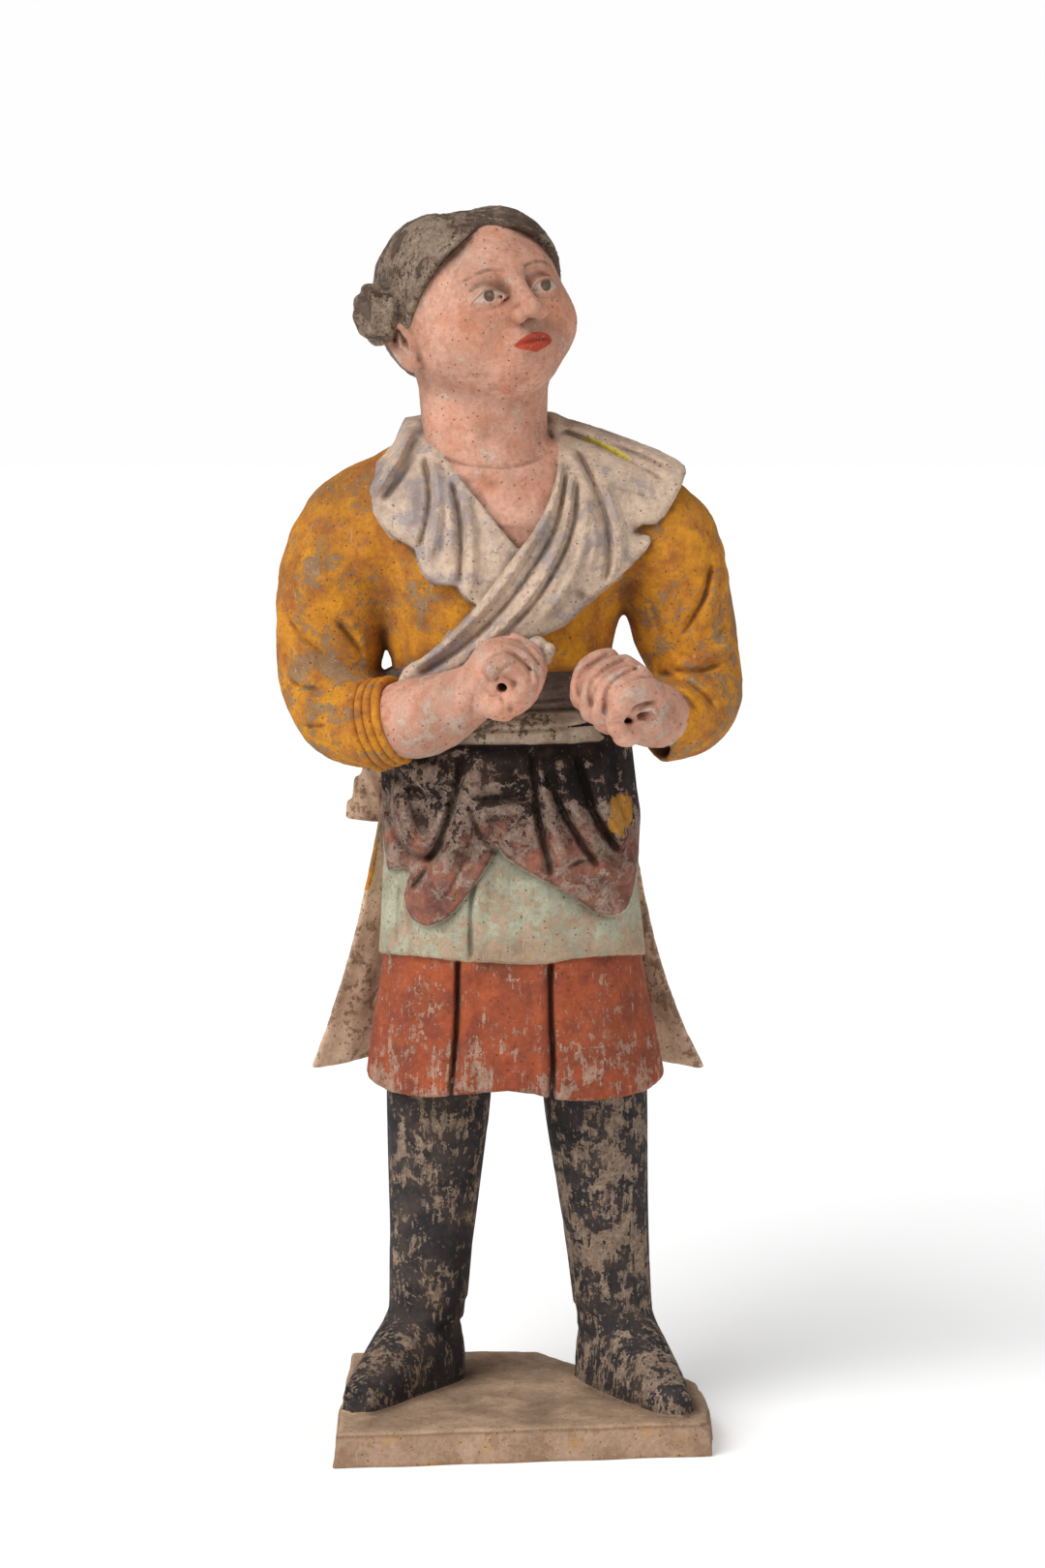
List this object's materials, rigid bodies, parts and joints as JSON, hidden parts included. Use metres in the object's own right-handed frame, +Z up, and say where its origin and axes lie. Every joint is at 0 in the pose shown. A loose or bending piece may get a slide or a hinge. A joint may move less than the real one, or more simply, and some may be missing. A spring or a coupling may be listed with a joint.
{
  "type": "tomb figure",
  "caption": "Painted terracotta tomb figure of a groom in a belted robe and boots, fists raised, standing on a thin slab.",
  "frame": {"origin": "centre of the slab's flat underside, which rests on the ground", "axes": "+Z up the figure's height; the figure faces -Y; +X is its left-hand side"},
  "size_m": [0.2337, 0.1823, 0.6205],
  "materials": {
    "painted_clay": "matt, worn paint over fired clay"
  },
  "bodies": {
    "root": {"figure": "painted_clay"}
  },
  "joints": []
}
